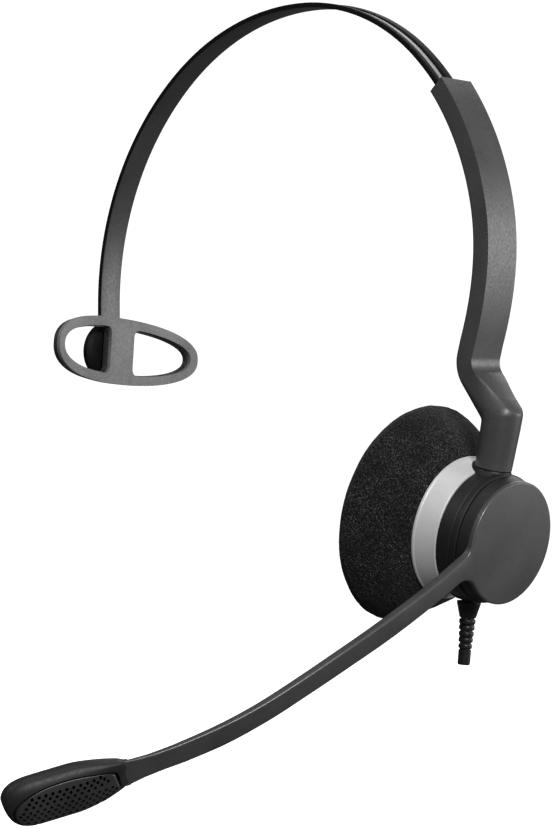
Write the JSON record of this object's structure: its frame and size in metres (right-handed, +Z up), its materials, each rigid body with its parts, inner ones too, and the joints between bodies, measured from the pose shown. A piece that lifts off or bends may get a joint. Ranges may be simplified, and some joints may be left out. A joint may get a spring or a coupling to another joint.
{
  "type": "office headset",
  "caption": "Single-ear office headset: spring headband, sliding arm, swivelling foam ear cup, rotating boom with microphone pod and temple pad.",
  "frame": {"origin": "underside of the headband at its crown, where it rests on the head", "axes": "+Z up, the wearer faces -Y, +X towards the ear cup"},
  "size_m": [0.1516, 0.1586, 0.2091],
  "materials": {
    "dark_plastic": "fine-grained charcoal moulded plastic",
    "grey_plastic": "dark grey flexible nylon, satin",
    "black_plastic": "black moulded plastic, satin",
    "satin_silver": "satin silver ring with a bright rim",
    "black_foam": "open-cell black foam",
    "grey_rubber": "soft-touch grey rubber",
    "black_rubber": "black flexible strain relief",
    "steel": "plain steel",
    "board_green": "printed circuit board",
    "copper": "insulated thin lead",
    "film": "thin polymer film"
  },
  "bodies": {
    "headband": {"headband_spring": "grey_plastic", "band_end_stop": "steel", "hub_outer_shell": "black_plastic", "hub_inner_shell": "black_plastic", "hub_ball_stud": "steel"},
    "temple_pad": {"temple_pad_cushion": "grey_rubber", "temple_pad_frame": "dark_plastic"},
    "arm": {"arm_sleeve": "dark_plastic", "arm_inner_cover": "black_plastic", "slider_spring": "steel", "arm_cover_screw": "steel", "swivel_stem": "steel"},
    "ear_cup": {"cup_housing": "black_plastic", "bright_ring": "satin_silver", "speaker_baffle": "black_plastic", "baffle_screw_front": "steel", "baffle_screw_rear": "steel", "speaker_magnet": "steel", "speaker_frame": "black_plastic", "speaker_diaphragm": "film", "speaker_grille": "dark_plastic", "ear_cushion": "black_foam", "terminal_board": "board_green", "strain_relief": "black_rubber", "boom_detent_ring": "grey_plastic"},
    "boom": {"boom_arm": "dark_plastic", "boom_retaining_ring": "steel", "mic_lead": "copper", "mic_pod": "dark_plastic", "mic_grille": "black_plastic", "mic_windscreen": "black_foam", "mic_capsule": "steel"}
  },
  "joints": [
    {"name": "arm_slide", "type": "hinge", "parent": "headband", "child": "arm", "pos_m": [-0.01101, 0, -0.06771], "axis": [0, 1, 0], "range_deg": [0, 22]},
    {"name": "temple_pad_tilt", "type": "hinge", "parent": "headband", "child": "temple_pad", "pos_m": [-0.0723, 0, -0.0915], "axis": [0, 1, 0], "range_deg": [-7, 7]},
    {"name": "cup_swivel", "type": "hinge", "parent": "arm", "child": "ear_cup", "pos_m": [0.0619, 0, -0.12295], "axis": [0.2164, 0, 0.9763], "range_deg": [-25, 25]},
    {"name": "boom_rotation", "type": "hinge", "parent": "ear_cup", "child": "boom", "pos_m": [0.0679, 0, -0.1421], "axis": [0.9763, 0, -0.2164], "range_deg": [-100, 170]}
  ]
}
